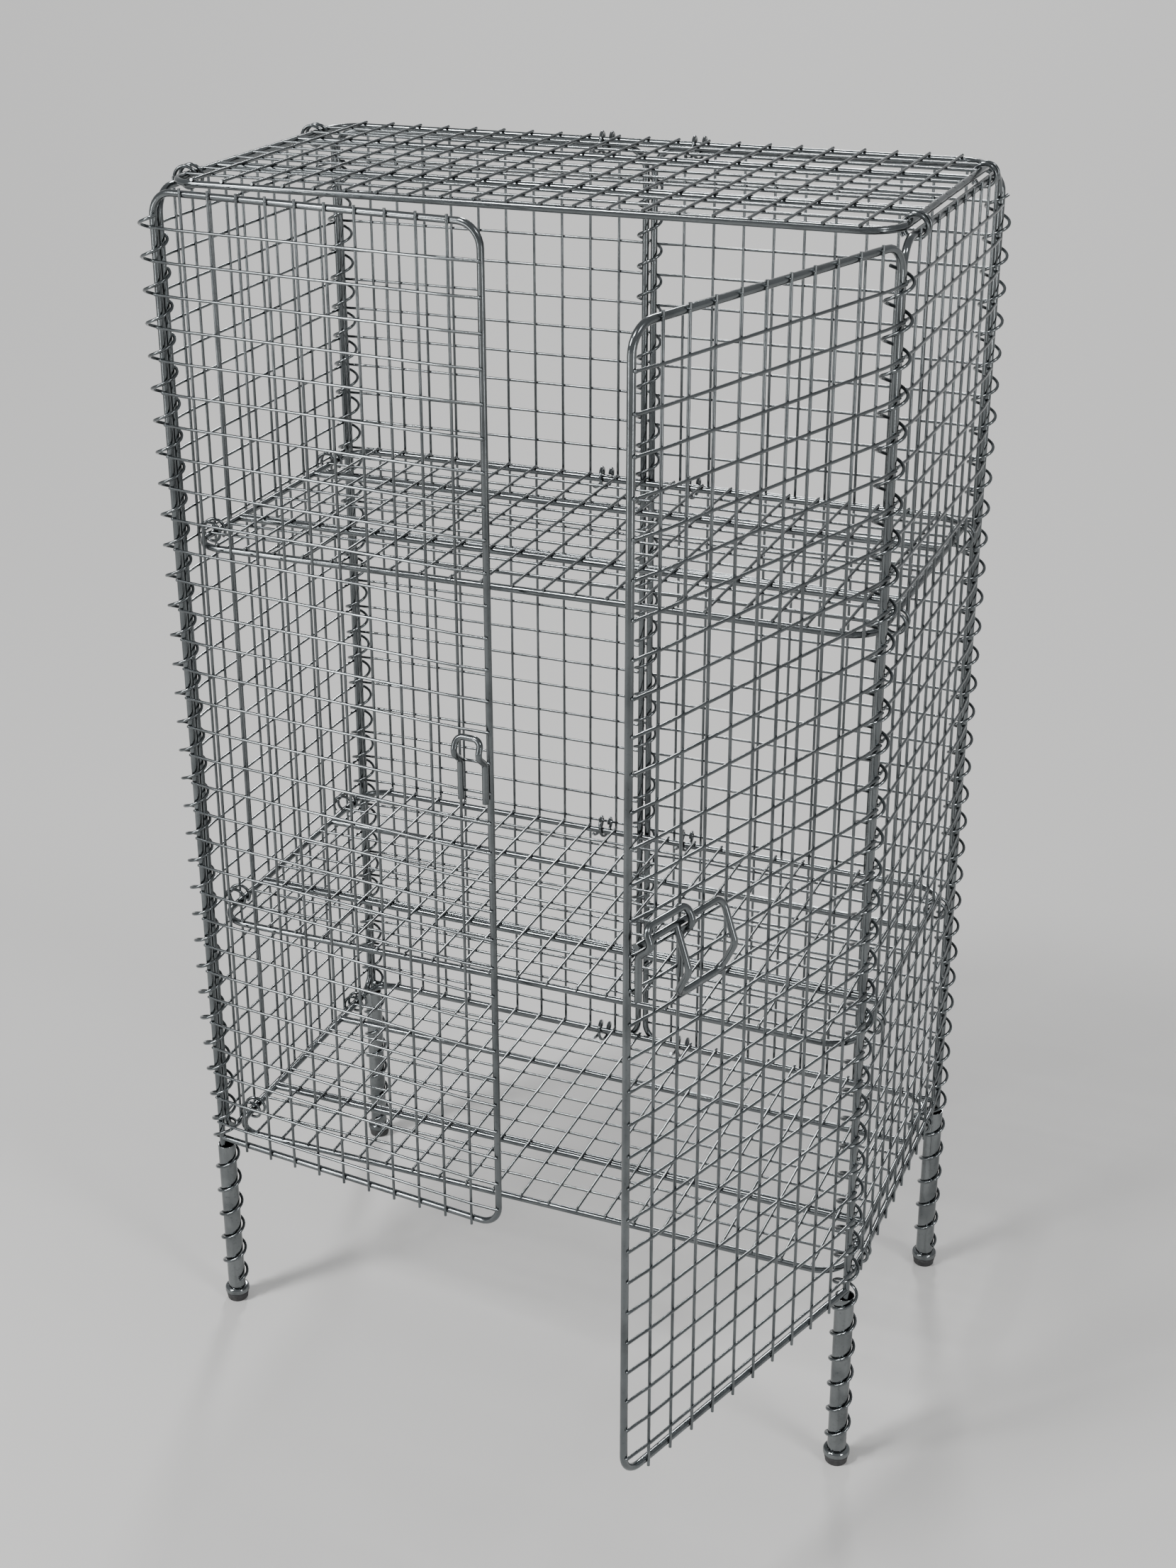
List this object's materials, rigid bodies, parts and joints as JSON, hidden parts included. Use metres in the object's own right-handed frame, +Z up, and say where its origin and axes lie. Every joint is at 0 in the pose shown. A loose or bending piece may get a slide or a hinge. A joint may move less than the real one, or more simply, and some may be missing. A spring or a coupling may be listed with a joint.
{
  "type": "wire kennel cage",
  "caption": "Tall wire-mesh kennel cabinet with double doors, shelves and a slide bolt, on tubular legs bound by steel spirals.",
  "frame": {"origin": "on the floor, the pad of the front left foot, under that leg's axis", "axes": "+X to the right along the front, +Y from the front to the back, +Z up"},
  "size_m": [0.5941, 0.5842, 1.0179],
  "materials": {
    "zinc_plate": "bright zinc plating",
    "bright_plate": "bright plating",
    "rubber": "matt black"
  },
  "bodies": {
    "cage": {"left_side": "zinc_plate", "right_side": "zinc_plate", "left_back": "zinc_plate", "right_back": "zinc_plate", "top": "zinc_plate", "upper_shelf": "zinc_plate", "lower_shelf": "zinc_plate", "bottom": "zinc_plate", "front_left_spiral": "zinc_plate", "front_right_spiral": "zinc_plate", "back_left_spiral": "zinc_plate", "back_right_spiral": "zinc_plate", "back_middle_spiral": "zinc_plate", "front_left_leg": "bright_plate", "front_right_leg": "bright_plate", "back_left_leg": "bright_plate", "back_right_leg": "bright_plate", "front_left_flange": "bright_plate", "front_right_flange": "bright_plate", "back_left_flange": "bright_plate", "back_right_flange": "bright_plate", "top_front_left_clip": "zinc_plate", "top_front_right_clip": "zinc_plate", "top_back_left_clip": "zinc_plate", "top_back_right_clip": "zinc_plate", "top_rear_left_clip": "zinc_plate", "top_rear_right_clip": "zinc_plate", "upper_shelf_front_left_clip": "zinc_plate", "upper_shelf_front_right_clip": "zinc_plate", "upper_shelf_back_left_clip": "zinc_plate", "upper_shelf_back_right_clip": "zinc_plate", "upper_shelf_rear_left_clip": "zinc_plate", "upper_shelf_rear_right_clip": "zinc_plate", "lower_shelf_front_left_clip": "zinc_plate", "lower_shelf_front_right_clip": "zinc_plate", "lower_shelf_back_left_clip": "zinc_plate", "lower_shelf_back_right_clip": "zinc_plate", "lower_shelf_rear_left_clip": "zinc_plate", "lower_shelf_rear_right_clip": "zinc_plate", "bottom_front_left_clip": "zinc_plate", "bottom_front_right_clip": "zinc_plate", "bottom_back_left_clip": "zinc_plate", "bottom_back_right_clip": "zinc_plate", "bottom_rear_left_clip": "zinc_plate", "bottom_rear_right_clip": "zinc_plate", "front_left_foot": "rubber", "front_right_foot": "rubber", "back_left_foot": "rubber", "back_right_foot": "rubber"},
    "left_leaf": {"left_door": "zinc_plate", "left_staple": "zinc_plate"},
    "right_leaf": {"right_door": "zinc_plate", "right_staple": "zinc_plate"},
    "slide_bolt": {"bolt": "zinc_plate"}
  },
  "joints": [
    {"name": "left_door_hinge", "type": "hinge", "parent": "cage", "child": "left_leaf", "pos_m": [-0.0016, -0.0032, 0.5895], "axis": [0, 0, -1], "range_deg": [-5.5, 95]},
    {"name": "right_door_hinge", "type": "hinge", "parent": "cage", "child": "right_leaf", "pos_m": [0.569, -0.0032, 0.5895], "axis": [0, 0, 1], "range_deg": [-72, 38]},
    {"name": "bolt_slide", "type": "slide", "parent": "right_leaf", "child": "slide_bolt", "axis": [-0.309, -0.9511, 0], "range_m": [0, 0.03]}
  ]
}
